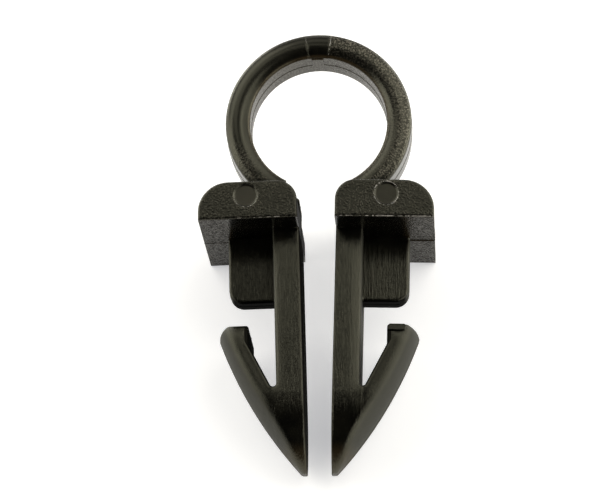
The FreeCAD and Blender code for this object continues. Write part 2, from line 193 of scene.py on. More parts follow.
# The photograph's width in pixels, and the width of the sensor that the lens is given for
FRAME_WIDTH = 610
SENSOR_WIDTH = 36.0
# The nearest that the camera sees and half the floor's side, in metres, and the grey of the dim room
NEAREST_VIEW = 0.01
FLOOR_HALF = 0.6
ROOM_GREY = 0.01
# Each softbox: its turn from the clip's right and tilt from straight up, in degrees, its width and height
# in metres, and its radiance
SOFTBOXES = {
    "key_box": (45, 22.5, 0.13, 0.16, 2.2),
    "top_left_box": (135, 22.5, 0.13, 0.16, 1.4),
    "top_right_box": (0, 25, 0.14, 0.16, 2.0),
    "back_box": (90, 42, 0.22, 0.16, 0.8),
    "left_back_box": (135, 45, 0.23, 0.16, 2.4),
    "right_back_box": (45, 45, 0.23, 0.16, 1.6),
    "right_side_box": (0, 48, 0.2, 0.16, 1.3),
    "left_side_box": (180, 48, 0.2, 0.16, 3.0),
    "right_box": (5, 74, 0.31, 0.2, 5.4),
    "left_box": (178, 74, 0.31, 0.2, 2.9),
    "low_left_box": (135, 80, 0.3, 0.12, 8.2),
    "low_back_box": (90, 76, 0.3, 0.16, 1.0),
    "low_right_back_box": (45, 80, 0.3, 0.12, 6.0),
    "low_right_box": (315, 76, 0.25, 0.18, 3.2),
}


def clip_axes():
    """The clip's own axes in the frame: X across it, Y from the barbs to the ring, Z out of its front."""
    front = Vector(MOUNTS["wire_ring"]["axis"]).normalized()
    up = -Vector(MOUNTS["panel_hole"]["axis"]).normalized()
    axes = Matrix((up.cross(front), up, front)).transposed().to_4x4()
    axes.translation = Vector(MOUNTS["panel_hole"]["pos_m"])
    return axes


CLIP = clip_axes()


def at(x, y, z):
    """A point of the clip's own axes, in millimetres, as a point of the frame in metres."""
    return CLIP @ (Vector((x, y, z)) * MM)


def on_half(side, along, height):
    """A point of one half, toed in about the ring's centre, in the clip's own axes: side is 1 or -1."""
    drop = height - RING_RISE
    across = along * math.cos(TOE_IN) + drop * math.sin(TOE_IN)
    return side * across, RING_RISE - along * math.sin(TOE_IN) + drop * math.cos(TOE_IN)


def steps(first, last, count):
    """Numbers from first to last in even steps, both ends included."""
    return [first + (last - first) * step / count for step in range(count + 1)]


class Signal:
    """An output of a tree's nodes. Sums of signals and numbers add the nodes that work them out."""

    def __init__(self, socket):
        self.tree = socket.id_data
        self.socket = socket

    @staticmethod
    def make(tree, kind, settings=None, sockets=None):
        """Add a node, set its settings, and then its sockets' values or what feeds them."""
        node = tree.nodes.new(kind)
        for name, value in (settings or {}).items():
            setattr(node, name, value)
        for name, value in (sockets or {}).items():
            if isinstance(value, Signal):
                tree.links.new(value.socket, node.inputs[name])
            else:
                node.inputs[name].default_value = value
        return node

    @classmethod
    def of(cls, node, output=0):
        return cls(node.outputs[output])

    @classmethod
    def new(cls, tree, kind, settings=None, sockets=None, output=0):
        """One output of a new node."""
        return cls.of(cls.make(tree, kind, settings, sockets), output)

    def maths(self, operation, *others):
        sockets = dict(enumerate((self, *others)))
        return Signal.new(self.tree, "ShaderNodeMath", {"operation": operation}, sockets)

    def __add__(self, other):
        return self.maths("ADD", other)

    def __mul__(self, other):
        return self.maths("MULTIPLY", other)

    def __sub__(self, other):
        return self.maths("SUBTRACT", other)

    def __rsub__(self, other):
        return self * -1 + other

    def size(self):
        return self.maths("ABSOLUTE")

    def root(self):
        return self.maths("SQRT")

    def most(self, other):
        return self.maths("MAXIMUM", other)

    def least(self, other):
        return self.maths("MINIMUM", other)

    def above(self, low, high):
        """Runs smoothly from 0 at low to 1 at high."""
        settings = {"interpolation_type": "SMOOTHSTEP"}
        sockets = {"Value": self, "From Min": low, "From Max": high}
        return Signal.new(self.tree, "ShaderNodeMapRange", settings, sockets)

    def below(self, low, high):
        """Runs smoothly from 1 at low to 0 at high."""
        return 1 - self.above(low, high)

    def within(self, rise, fall):
        """Runs from 0 to 1 over the first pair of limits and back to 0 over the second."""
        return self.above(*rise) * self.below(*fall)


class NylonFinish(bpy.types.PropertyGroup):
    """The colour and the surface of the black nylon."""

    colour: FloatVectorProperty(
        name="Colour",
        description="Colour of the nylon",
        subtype="COLOR",
        default=(0.0009, 0.0008, 0.0007),
    )
    bloom: FloatVectorProperty(
        name="Bloom",
        description="Colour of its paler patches",
        subtype="COLOR",
        default=(0.0035, 0.0032, 0.0022),
    )
    # Painted highlight: pale glints on the grain's peaks, for light catching the eroded grain
    glint: FloatVectorProperty(
        name="Glints",
        description="Colour of the glinting peaks of the grain",
        subtype="COLOR",
        default=(0.11, 0.099, 0.076),
    )
    # Painted reflection: a warm tan in the colour of the feet's undersides, the ring's bore and the tips,
    # for the floor's light they catch
    warm_bounce: FloatVectorProperty(
        name="Bounce",
        description="Colour of the rubbed undersides, bore and tips",
        subtype="COLOR",
        default=(0.04, 0.027, 0.012),
    )
    tint: FloatVectorProperty(
        name="Tint",
        description="Tint of its gloss",
        subtype="COLOR",
        default=(1.0, 0.975, 0.72),
    )
    smooth: FloatProperty(
        name="Smooth",
        description="Roughness of the smooth places",
        default=0.235,
        min=0,
        max=1,
    )
    grained: FloatProperty(
        name="Grained",
        description="Roughness of the grain's peaks",
        default=0.27,
        min=0,
        max=1,
    )
    pitted: FloatProperty(
        name="Pits",
        description="Roughness of the grain's pits",
        default=0.2,
        min=0,
        max=1,
    )
    dragged: FloatProperty(
        name="Dragged",
        description="Roughness of the legs' sides",
        default=0.7,
        min=0,
        max=1,
    )
    grain_height: FloatProperty(
        name="Grain",
        description="Height of the eroded grain",
        default=0.05 * MM,
        unit="LENGTH",
        precision=6,
    )
    edge_softness: FloatProperty(
        name="Edges",
        description="Rounding of every edge",
        default=0.3 * MM,
        unit="LENGTH",
        precision=6,
    )
    head_softness: FloatProperty(
        name="Heads",
        description="Rounding of the arrowheads' outer edges",
        default=2.0 * MM,
        unit="LENGTH",
        precision=6,
    )
    leg_draft: FloatProperty(
        name="Leg draft",
        description="Slope of the legs' faces along them",
        default=math.radians(2.8),
        subtype="ANGLE",
    )
    web_draft: FloatProperty(
        name="Web draft",
        description="Slope of the webs' faces across them",
        default=math.radians(2.0),
        subtype="ANGLE",
    )
    streak_height: FloatProperty(
        name="Streaks",
        description="Height of the polishing streaks",
        default=0.036 * MM,
        unit="LENGTH",
        precision=6,
    )


class MouldMarks(bpy.types.PropertyGroup):
    """The thin flash and the small raised places that the mould left."""

    colour: FloatVectorProperty(
        name="Flash",
        description="Colour of the thin flash",
        subtype="COLOR",
        default=(0.3, 0.28, 0.24),
    )
    ridge: FloatProperty(
        name="Ridge",
        description="Radius of the ridge where the mould parted",
        default=0.03 * MM,
        unit="LENGTH",
    )
    sliver_length: FloatProperty(
        name="Sliver",
        description="Half the length of a long sliver of flash",
        default=0.35 * MM,
        unit="LENGTH",
    )
    sliver_radius: FloatProperty(
        name="Sliver radius",
        description="Radius of a thick sliver",
        default=0.08 * MM,
        unit="LENGTH",
    )
    spacing: FloatProperty(
        name="Spacing",
        description="Distance between slivers of flash",
        default=0.25 * MM,
        unit="LENGTH",
    )
    seed: IntProperty(name="Seed", description="Seed of the slivers' places", default=7)
    land_height: FloatProperty(
        name="Land",
        description="Height of the land on the right barb",
        default=0.2 * MM,
        unit="LENGTH",
        precision=6,
    )
    strip_width: FloatProperty(
        name="Strip",
        description="Width of the strip inside the ring",
        default=1.04 * MM,
        unit="LENGTH",
    )
    strip_height: FloatProperty(
        name="Strip height",
        description="How far the strip stands proud",
        default=0.13 * MM,
        unit="LENGTH",
    )


class Studio(bpy.types.PropertyGroup):
    """The floor, the lamps and the camera."""

    floor_colour: FloatVectorProperty(
        name="Floor",
        description="Colour of the floor",
        subtype="COLOR",
        default=(0.85, 0.84, 0.81),
    )
    white: FloatVectorProperty(
        name="White",
        description="What the lit floor lacks to be white",
        subtype="COLOR",
        default=(0.46, 0.463, 0.475),
    )
    lamp_colour: FloatVectorProperty(
        name="Lamps",
        description="Colour of the lamps",
        subtype="COLOR",
        default=(1.0, 0.985, 0.95),
    )
    distance: FloatProperty(
        name="Distance",
        description="From the clip to each softbox",
        default=0.4,
        unit="LENGTH",
    )
    focal_pixels: FloatProperty(
        name="Focal length",
        description="Focal length of the view, in pixels of the photograph",
        default=3000.0,
    )
    pixel: FloatProperty(
        name="Pixel",
        description="Size of a pixel on the clip",
        default=0.087 * MM,
        unit="LENGTH",
        precision=6,
    )
    elevation: FloatProperty(
        name="Elevation",
        description="Turn of the view below the clip",
        default=math.radians(16.58),
        subtype="ANGLE",
    )
    azimuth: FloatProperty(
        name="Azimuth",
        description="Turn of the view to the right",
        default=math.radians(2.92),
        subtype="ANGLE",
    )
    roll: FloatProperty(
        name="Roll",
        description="Roll of the view",
        default=math.radians(0.04),
        subtype="ANGLE",
    )
    aim: FloatVectorProperty(
        name="Aim",
        description="Point at the middle of the picture, in pixels",
        size=2,
        default=(-14.57, -8.92),
    )


def new_material(name):
    material = bpy.data.materials.new(name)
    material.use_nodes = True
    material.node_tree.nodes.clear()
    return material


def end_material(tree, surface):
    Signal.make(tree, "ShaderNodeOutputMaterial", sockets={"Surface": surface})


def own_coordinates(tree):
    """The place on the clip, in its own axes and in millimetres, as one vector and as three numbers."""
    to_clip = CLIP.inverted()
    sockets = {
        "Vector": Signal.new(tree, "ShaderNodeTexCoord", output="Object"),
        "Location": to_clip.translation / MM,
        "Rotation": to_clip.to_euler(),
        "Scale": (1 / MM, 1 / MM, 1 / MM),
    }
    mapped = Signal.new(tree, "ShaderNodeMapping", {"vector_type": "POINT"}, sockets)
    return mapped, parts_of(mapped)


def parts_of(vector):
    parts = Signal.make(vector.tree, "ShaderNodeSeparateXYZ", sockets={"Vector": vector})
    return [Signal.of(parts, axis) for axis in "XYZ"]


def noise(place, scale, detail, roughness):
    sockets = {"Vector": place, "Scale": scale, "Detail": detail, "Roughness": roughness}
    return Signal.new(place.tree, "ShaderNodeTexNoise", sockets=sockets)


def stretched(place, scale):
    """The place drawn out along one axis, for streaks."""
    return Signal.new(place.tree, "ShaderNodeMapping", sockets={"Vector": place, "Scale": scale})


def mixed(factor, first, second):
    """A colour between two, each a signal or three numbers."""
    first, second = (part if isinstance(part, Signal) else (*part, 1.0) for part in (first, second))
    sockets = {"Factor": factor, 6: first, 7: second}
    return Signal.new(factor.tree, "ShaderNodeMix", {"data_type": "RGBA"}, sockets, 2)


def distance(first, second):
    """The length of a line from its two sides."""
    return (first * first + second * second).root()


def strongest(parts, shares):
    """The strongest of some parts' masks, each times its share."""
    scaled = [getattr(parts, name) * share for name, share in shares.items()]
    found = scaled[0]
    for mask in scaled[1:]:
        found = found.most(mask)
    return found


def half_axes(x, y):
    """The place on either half in that half's own axes, which are toed in about the ring's centre."""
    across = x.size() * math.cos(TOE_IN) - (y - RING_RISE) * math.sin(TOE_IN)
    up = x.size() * math.sin(TOE_IN) + (y - RING_RISE) * math.cos(TOE_IN) + RING_RISE
    return across, up


def past_slot(across, up):
    """How far a place on the barb lies from the slot between barb and leg."""
    slant = Vector(BARB_INNER) - Vector(SLOT_END)
    slant.normalize()
    beside = (across - BARB_INNER[0]) * slant.y - (up - BARB_INNER[1]) * slant.x
    return beside.most(across - BARB_INNER[0])


def clip_parts(x, y, z):
    """The clip's parts as masks from 0 to 1, with the place on a half and the way from its pin mark."""
    across, up = half_axes(x, y)
    depth = z.size()
    from_pin = distance(across - PIN_PLACE[0], up - PIN_PLACE[1])
    on_front = z.above(*FACE)
    on_face = depth.above(*FACE) * from_pin.above(*PIN_RIM).most(1 - on_front)
    below_seat = up.below(*SEAT)
    from_ring = distance(x, y - RING_RISE)
    on_ring = y.above(*RING_END) * x.above(*RIGHT_OF_MARK).most(y.below(*RING_LOW))
    bore = y.above(*RING_END) * from_ring.below(*BORE)
    shown = from_ring.above(*RING_CROWN) * SPARKLE_CROWN - from_ring.above(*RING_RIM) * SPARKLE_RIM
    leaning = x.above(*RIGHT_OF_RING) * (1 - SPARKLE_LEFT) + SPARKLE_LEFT
    by_seat = up.size().below(*SEAT_CORNER_REACH) * depth.below(*SEAT_CORNER_DEPTH)
    by_leg = across.within(WEB_CORNER_IN, WEB_CORNER_OUT) * depth.below(*WEB_CORNER_DEPTH)
    by_leg = by_leg * up.within(WEB_CORNER_LOW, WEB_CORNER_TOP)
    on_leg_edge = across.within(LEG_EDGE, LEG_OUTER) * up.within(LEG_LOW, LEG_TOP)
    return SimpleNamespace(
        up=up,
        depth=depth,
        from_pin=from_pin,
        on_front=on_front,
        on_face=on_face,
        on_wing=up.size().below(*UNDERSIDE) * (1 - on_face) * across.above(*WING),
        on_pin=on_front * from_pin.below(*PIN_DISC),
        sparkle=on_ring * (shown + SPARKLE_BORE) * leaning,
        bore=bore,
        in_bore=on_ring * bore,
        below_seat=below_seat,
        on_web=below_seat * up.above(*WEB_LOW) * depth.below(*WEB_FACE),
        on_head=past_slot(across, up).above(*HEAD_EDGE) * up.below(*BARB_END),
        on_barb=across.above(*LEG_OUTER) * up.below(*BARB_END),
        on_tip=up.below(*TIP),
        on_leg_edge=on_leg_edge * depth.above(*LEG_FACE),
        in_corner=(by_seat * across.above(*SEAT_CORNER)).most(by_leg),
    )


def soft_normal(finish, sharp, parts):
    """The surface's normal, with every edge rounded but the corners, and the heads' edges more so."""
    tree = sharp.tree
    blend, broad = (
        Signal.new(tree, "ShaderNodeBevel", {"samples": BEVEL_SAMPLES}, {"Radius": radius})
        for radius in (finish.edge_softness, finish.head_softness)
    )
    for factor, other in ((strongest(parts, BROAD_SHARES), broad), (parts.in_corner, sharp)):
        sockets = {"Factor": factor, 4: blend, 5: other}
        blend = Signal.new(tree, "ShaderNodeMix", {"data_type": "VECTOR"}, sockets, 1)
    return Signal.new(tree, "ShaderNodeVectorMath", {"operation": "NORMALIZE"}, {0: blend})


def add_facing_parts(parts, x, y, sharp, normal):
    """Add the masks that follow from the way a surface faces: sides, inner walls and the webs' ends."""
    parts.on_side = parts.below_seat * parts_of(normal)[0].size().above(*SIDEWAYS)
    inwards = x * parts_of(sharp)[0] * -1
    parts.inner_side = inwards.above(*INWARDS) * y.below(*INNER_TOP)
    settings = {"operation": "DOT_PRODUCT"}
    sockets = {0: sharp, 1: -CLIP.to_3x3().col[1]}
    to_tips = Signal.new(sharp.tree, "ShaderNodeVectorMath", settings, sockets, "Value")
    on_end = parts.depth.below(*WEB_FACE) * parts.up.within(WEB_END_LOW, WEB_END_TOP)
    parts.web_end = to_tips.above(*TIPWARDS) * on_end


def nylon_relief(finish, parts, x, grain, streaks):
    """The surface's height in millimetres: grain, streaks, draft of legs and webs, and pin marks."""
    marked = strongest(parts, GRAIN_SHARES) * (1 - SMOOTH_GRAIN) + SMOOTH_GRAIN
    height = (grain - NOISE_MIDDLE) * marked * (finish.grain_height / MM)
    streaked = parts.below_seat * (1 - parts.on_barb * BARB_POLISH)
    height = height + streaks * streaked * (finish.streak_height / MM)
    fall = (parts.up - LEG_DRAFT_START).least(0.0) * (1 - parts.on_web)
    height = height - fall * math.tan(finish.leg_draft)
    height = height - (x.size() - WEB_DRAFT_START) * parts.on_web * math.tan(finish.web_draft)
    return height - parts.from_pin.below(*PIN_DISH) * parts.on_front * PIN_DEPTH


def nylon_roughness(finish, parts, peaks, patches):
    grained = parts.on_face.most(parts.sparkle)
    rough = grained * (peaks * (finish.grained - finish.pitted) + finish.pitted - finish.smooth)
    rough = rough + (patches - NOISE_MIDDLE) * PATCH_ROUGHNESS + parts.on_pin * PIN_ROUGHNESS
    return rough + finish.smooth + parts.on_side * (finish.dragged - finish.smooth)


def nylon_colour(finish, parts, x, grain, patches):
    colour = mixed(patches.above(*PALE_PATCHES), finish.colour, finish.bloom)
    # Painted highlight: pale glints on the grain's peaks
    glints = grain.above(*GRAIN_GLINTS) * strongest(parts, GLINT_SHARES)
    # Painted highlight: the smooth pin-mark floors are made paler, the left more, for the brighter
    # reflection they show
    pale = x.above(*RIGHT_HALF) * (RIGHT_PIN_SHEEN - LEFT_PIN_SHEEN) + LEFT_PIN_SHEEN
    colour = mixed(glints.most(parts.on_pin * pale), colour, finish.glint)
    # Painted reflection: the feet's undersides, the bore and the tips take a warm tan for the floor's
    # light they mirror
    return mixed(strongest(parts, BOUNCE_SHARES), colour, finish.warm_bounce)


def black_nylon(name, finish, softened):
    """Nearly black nylon: eroded grain on the feet and part of the ring, streaks on the legs and webs."""
    material = new_material(name)
    tree = material.node_tree
    place, (x, y, z) = own_coordinates(tree)
    parts = clip_parts(x, y, z)
    sharp = Signal.new(tree, "ShaderNodeNewGeometry", output="Normal")
    normal = soft_normal(finish, sharp, parts) if softened else sharp
    add_facing_parts(parts, x, y, sharp, normal)
    grain = noise(place, scale=6.5, detail=2.0, roughness=0.5)
    streaks = noise(stretched(place, STREAK_STRETCH), scale=6.0, detail=3.0, roughness=0.65)
    patches = noise(place, scale=0.55, detail=3.0, roughness=0.55)
    peaks = grain.above(*GRAIN_PEAKS)
    height = nylon_relief(finish, parts, x, grain, streaks)
    relief = {"Height": height, "Strength": 1.0, "Distance": MM, "Normal": normal}
    sockets = {
        "Base Color": nylon_colour(finish, parts, x, grain, patches),
        "Roughness": nylon_roughness(finish, parts, peaks, patches),
        "IOR": NYLON_IOR,
        "Specular Tint": (*finish.tint, 1.0),
        "Normal": Signal.new(tree, "ShaderNodeBump", sockets=relief),
    }
    satin = Signal.new(tree, "ShaderNodeBsdfPrincipled", sockets=sockets)
    # Painted shade: matt black mixed in where walls, webs' ends, undersides and bore mirror the clip's
    # own shadow
    black_shade = Signal.new(tree, "ShaderNodeBsdfDiffuse", sockets={"Color": (*finish.colour, 1.0)})
    shares = {part: peaks * (high - low) + low for part, (low, high) in MATT_SHADE_SHARES.items()}
    sockets = {"Fac": strongest(parts, shares), 1: satin, 2: black_shade}
    end_material(tree, Signal.new(tree, "ShaderNodeMixShader", sockets=sockets))
    return material


def pale_flash(marks):
    """Thin nylon that the mould squeezed out, whitened where it is bent."""
    material = new_material("pale_flash")
    tree = material.node_tree
    place, _ = own_coordinates(tree)
    bent = noise(place, scale=3.0, detail=2.0, roughness=0.6).above(*FLASH_BENDS)
    low, high = FLASH_ROUGHNESS
    sockets = {
        "Base Color": mixed(bent, [part * UNBENT_FLASH for part in marks.colour], marks.colour),
        "Roughness": bent * (high - low) + low,
        "IOR": NYLON_IOR,
    }
    end_material(tree, Signal.new(tree, "ShaderNodeBsdfPrincipled", sockets=sockets))
    return material


def merged_clip():
    """A merged copy of the clip's mesh, to cut and to measure."""
    copy = bmesh.new()
    copy.from_mesh(frame["nodes"][CLIP_NODE].data)
    bmesh.ops.remove_doubles(copy, verts=copy.verts, dist=MERGED)
    return copy


def front_of_clip():
    """Gives the point of the clip's front that lies over a place of its own axes, lifted a little."""
    copy = merged_clip()
    shell = BVHTree.FromBMesh(copy)
    copy.free()
    down = CLIP.to_3x3() @ Vector((0, 0, -1))

    def front(x, y, lift=0.0):
        hit = shell.ray_cast(at(x, y, CLEAR_HEIGHT), down)[0]
        if hit is None:
            raise RuntimeError(f"nothing of the clip lies under {x:.2f}, {y:.2f}")
        return hit - down * lift * MM

    return front


def path_mesh(name, paths):
    """A mesh of open lines, one for each list of points."""
    points, edges = [], []
    for path in paths:
        edges += [(len(points) + i, len(points) + i + 1) for i in range(len(path) - 1)]
        points += path
    mesh = bpy.data.meshes.new(name)
    mesh.from_pydata(points, edges, [])
    return mesh


def new_tree(name, inputs):
    """A geometry tree with named inputs, its input node, and the lines of the mesh that it is given."""
    tree = bpy.data.node_groups.new(name, "GeometryNodeTree")
    tree.interface.new_socket("Geometry", in_out="INPUT", socket_type="NodeSocketGeometry")
    for label, kind in inputs.items():
        tree.interface.new_socket(label, in_out="INPUT", socket_type=kind)
    tree.interface.new_socket("Geometry", in_out="OUTPUT", socket_type="NodeSocketGeometry")
    given = Signal.make(tree, "NodeGroupInput")
    line = Signal.new(tree, "GeometryNodeMeshToCurve", sockets={"Mesh": Signal.of(given, "Geometry")})
    return tree, given, line


def end_tree(tree, made, material):
    """End a tree in plain geometry with its material."""
    plain = Signal.new(tree, "GeometryNodeRealizeInstances", sockets={"Geometry": made})
    sockets = {"Geometry": plain, "Material": material}
    painted = Signal.new(tree, "GeometryNodeSetMaterial", sockets=sockets)
    Signal.make(tree, "NodeGroupOutput", sockets={"Geometry": painted})


def ridge_tree():
    """A thin round ridge along every line of a mesh."""
    inputs = {"Radius": "NodeSocketFloat", "Material": "NodeSocketMaterial"}
    tree, given, line = new_tree("parting_ridge", inputs)
    sockets = {"Resolution": 6, "Radius": Signal.of(given, "Radius")}
    section = Signal.new(tree, "GeometryNodeCurvePrimitiveCircle", sockets=sockets)
    sockets = {"Curve": line, "Profile Curve": section}
    ridge = Signal.new(tree, "GeometryNodeCurveToMesh", sockets=sockets)
    end_tree(tree, ridge, Signal.of(given, "Material"))
    return tree


def sliver_tree():
    """Slivers of random length and thickness strung along every line of a mesh."""
    inputs = {name: "NodeSocketFloat" for name in ("Spacing", "Kept", "Length", "Radius")}
    inputs |= {"Seed": "NodeSocketInt", "Material": "NodeSocketMaterial"}
    tree, given, line = new_tree("flash_slivers", inputs)
    seed = Signal.of(given, "Seed")
    radius = Signal.of(given, "Radius")
    length = Signal.of(given, "Length")

    def size(across, along):
        sockets = {"X": radius * across, "Y": radius * across, "Z": length * along}
        return Signal.new(tree, "ShaderNodeCombineXYZ", sockets=sockets)

    sockets = {"Curve": line, "Length": Signal.of(given, "Spacing")}
    points = Signal.make(tree, "GeometryNodeCurveToPoints", {"mode": "LENGTH"}, sockets)
    sockets = {"Probability": Signal.of(given, "Kept"), "Seed": seed}
    kept = Signal.make(tree, "FunctionNodeRandomValue", {"data_type": "BOOLEAN"}, sockets)
    sockets = {"Min": size(*SMALLEST_SLIVER), "Max": size(1.0, 1.0), "Seed": seed}
    scale = Signal.make(tree, "FunctionNodeRandomValue", {"data_type": "FLOAT_VECTOR"}, sockets)
    ball = Signal.make(tree, "GeometryNodeMeshIcoSphere", sockets={"Radius": 1.0, "Subdivisions": 1})
    sockets = {
        "Points": Signal.of(points, "Points"),
        "Selection": Signal.of(kept, "Value"),
        "Instance": Signal.of(ball, "Mesh"),
        "Rotation": Signal.of(points, "Rotation"),
        "Scale": Signal.of(scale, "Value"),
    }
    slivers = Signal.new(tree, "GeometryNodeInstanceOnPoints", sockets=sockets)
    end_tree(tree, slivers, Signal.of(given, "Material"))
    return tree


def settle(piece):
    """Fix a finished piece to the clip's one body."""
    if not piece.data.polygons:
        raise RuntimeError(f"{piece.name} came out empty")
    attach(piece, BODY)


def new_object(name, data):
    made = bpy.data.objects.new(name, data)
    bpy.context.scene.collection.objects.link(made)
    return made


def grow(name, mesh, tree, values):
    """Run a tree on a mesh and keep the result as a plain piece of the clip."""
    piece = new_object(name, mesh)
    modifier = piece.modifiers.new(name, "NODES")
    modifier.node_group = tree
    for item in tree.interface.items_tree:
        if item.in_out == "INPUT" and item.name in values:
            modifier[item.identifier] = values[item.name]
    evaluated = piece.evaluated_get(bpy.context.evaluated_depsgraph_get())
    made = bpy.data.meshes.new_from_object(evaluated)
    piece.modifiers.remove(modifier)
    piece.data = made
    settle(piece)


def mould(name, shape, rounding):
    """Keep a closed shape as a piece of the clip's nylon, with its edges rounded."""
    bmesh.ops.recalc_face_normals(shape, faces=shape.faces)
    mesh = bpy.data.meshes.new(name)
    shape.to_mesh(mesh)
    shape.free()
    mesh.materials.append(bpy.data.materials["sharp_nylon"])
    piece = new_object(name, mesh)
    rounded = piece.modifiers.new("rounding", "BEVEL")
    rounded.width = rounding * MM
    rounded.segments = 3
    settle(piece)


class CLIP_OT_nylon(bpy.types.Operator):
    """Give the moulded clip its black nylon"""

    bl_idname = "clip.nylon"
    bl_label = "Black nylon"

    def execute(self, context):
        finish = context.scene.nylon_finish
        frame["nodes"][CLIP_NODE].material_slots[0].material = black_nylon("black_nylon", finish, True)
        black_nylon("sharp_nylon", finish, False)
        return {"FINISHED"}


class CLIP_OT_parting_ridge(bpy.types.Operator):
    """Raise the fine ridge all round the clip where the mould parted"""

    bl_idname = "clip.parting_ridge"
    bl_label = "Parting ridge"

    def execute(self, context):
        copy = merged_clip()
        parts = copy.verts[:] + copy.edges[:] + copy.faces[:]
        front = CLIP.to_3x3() @ Vector((0, 0, 1))
        cut = bmesh.ops.bisect_plane(
            copy, geom=parts, dist=CUT_TOLERANCE, plane_co=at(0, 0, 0), plane_no=front
        )
        kept = {part for part in cut["geom_cut"] if isinstance(part, bmesh.types.BMEdge)}
        others = [edge for edge in copy.edges if edge not in kept]
        bmesh.ops.delete(copy, geom=others, context="EDGES_FACES")
        bmesh.ops.remove_doubles(copy, verts=copy.verts, dist=CUT_MERGED)
        mesh = bpy.data.meshes.new("parting_ridge")
        copy.to_mesh(mesh)
        copy.free()
        nylon = bpy.data.materials["sharp_nylon"]
        tree = ridge_tree()
        ridge = context.scene.mould_marks.ridge
        grow("parting_ridge", mesh, tree, {"Radius": ridge, "Material": nylon})
        seat = [at(*on_half(1, along, 0.0), 0.0) for along in SEAT_RIDGE]
        values = {"Radius": ridge * SEAT_RIDGE_SCALE, "Material": nylon}
        grow("right_seat_ridge", path_mesh("right_seat_ridge", [seat]), tree, values)
        return {"FINISHED"}


class CLIP_OT_flash(bpy.types.Operator):
    """String slivers of flash along the feet's edges, round the pin marks and beside the ring's mark"""

    bl_idname = "clip.flash"
    bl_label = "Flash"

    def execute(self, context):
        marks = context.scene.mould_marks
        front = front_of_clip()
        tree = sliver_tree()
        flash = pale_flash(marks)

        def string(name, paths, kept, length, radius, spacing=1.0):
            """Slivers along paths: the share that is kept, and their sizes beside the usual ones."""
            values = {
                "Spacing": marks.spacing * spacing,
                "Kept": kept,
                "Length": marks.sliver_length * length,
                "Radius": marks.sliver_radius * radius,
                "Seed": marks.seed,
                "Material": flash,
            }
            grow(name, path_mesh(name, paths), tree, values)

        def edge(side, start, end, rise=0.05):
            """Points along a foot's lower edge."""
            return [front(*on_half(side, along, rise)) for along in steps(start, end, 8)]

        def rim(side, first, last, radius=PIN_RADIUS + 0.06, lift=0.04):
            """Points round a pin mark, from one angle to another in degrees."""
            points = []
            for turn in steps(first, last, 32):
                along = PIN_PLACE[0] + radius * math.cos(math.radians(turn))
                height = PIN_PLACE[1] + radius * math.sin(math.radians(turn))
                points.append(front(*on_half(side, along, height), lift))
            return points

        def seam(turn, first, last):
            """Points across the ring's front at an angle from its top, in degrees."""
            across, up = math.sin(math.radians(turn)), math.cos(math.radians(turn))
            radii = steps(BORE_RADIUS + first, BORE_RADIUS + last, 8)
            return [front(radius * across, RING_RISE + radius * up) for radius in radii]

        left_edges = [edge(-1, 2.2, 7.8), edge(1, 2.4, 4.6)]
        string("right_edge_flash", [edge(1, 4.6, 10.2)], kept=0.85, length=1.0, radius=0.9)
        string("left_edge_flash", left_edges, kept=0.4, length=0.7, radius=0.6)
        string("right_pin_flash", [rim(1, -100, 240)], kept=0.8, length=0.4, radius=1.0, spacing=0.7)
        string("left_pin_flash", [rim(-1, 190, 350)], kept=0.35, length=0.4, radius=0.5, spacing=0.8)
        string("ring_mark_flash", [seam(8.3, 0.3, 2.0)], kept=0.8, length=0.6, radius=0.6, spacing=0.8)
        string("ring_mark_line", [seam(-8.3, 0.4, 1.8)], kept=0.4, length=0.5, radius=0.22, spacing=0.8)
        return {"FINISHED"}


class CLIP_OT_barb_land(bpy.types.Operator):
    """Raise the small flat land on the end of the right barb"""

    bl_idname = "clip.barb_land"
    bl_label = "Barb land"

    def execute(self, context):
        height = context.scene.mould_marks.land_height / MM
        lowest = LAND_OUTLINE[-1][1]
        land = bmesh.new()
        rows = []
        for lift, slope in ((-LAND_ROOT, 0.0), (height, LAND_SLOPE)):
            row = []
            for along, rise in LAND_OUTLINE:
                depth = BARB_FACE + lift - (rise - lowest) * slope
                row.append(land.verts.new(at(*on_half(1, along, rise), depth)))
            rows.append(row)
        foot, top = rows
        for i in range(len(foot)):
            after = (i + 1) % len(foot)
            land.faces.new((foot[i], foot[after], top[after], top[i]))
        land.faces.new(top)
        land.faces.new(list(reversed(foot)))
        mould("barb_land", land, LAND_ROUNDING)
        return {"FINISHED"}


class CLIP_OT_ring_strip(bpy.types.Operator):
    """Raise the short strip inside the top of the ring, in front of the parting plane"""

    bl_idname = "clip.ring_strip"
    bl_label = "Ring strip"

    def execute(self, context):
        marks = context.scene.mould_marks
        half = marks.strip_width / MM / 2
        outer = BORE_RADIUS + STRIP_ROOT
        inner = BORE_RADIUS - marks.strip_height / MM
        back, front = STRIP_ENDS
        strip = bmesh.new()
        rows = []
        for radius, height in ((outer, back), (inner, back), (inner, front), (outer, front)):
            row = []
            for across in steps(STRIP_MIDDLE - half, STRIP_MIDDLE + half, STRIP_COLUMNS):
                turn = math.asin(across / BORE_RADIUS)
                place = at(radius * math.sin(turn), RING_RISE + radius * math.cos(turn), height)
                row.append(strip.verts.new(place))
            rows.append(row)
        for first, second in zip(rows, rows[1:] + rows[:1]):
            for i in range(STRIP_COLUMNS):
                strip.faces.new((first[i], first[i + 1], second[i + 1], second[i]))
        strip.faces.new([row[0] for row in rows])
        strip.faces.new([row[-1] for row in reversed(rows)])
        mould("ring_strip", strip, STRIP_ROUNDING)
        return {"FINISHED"}


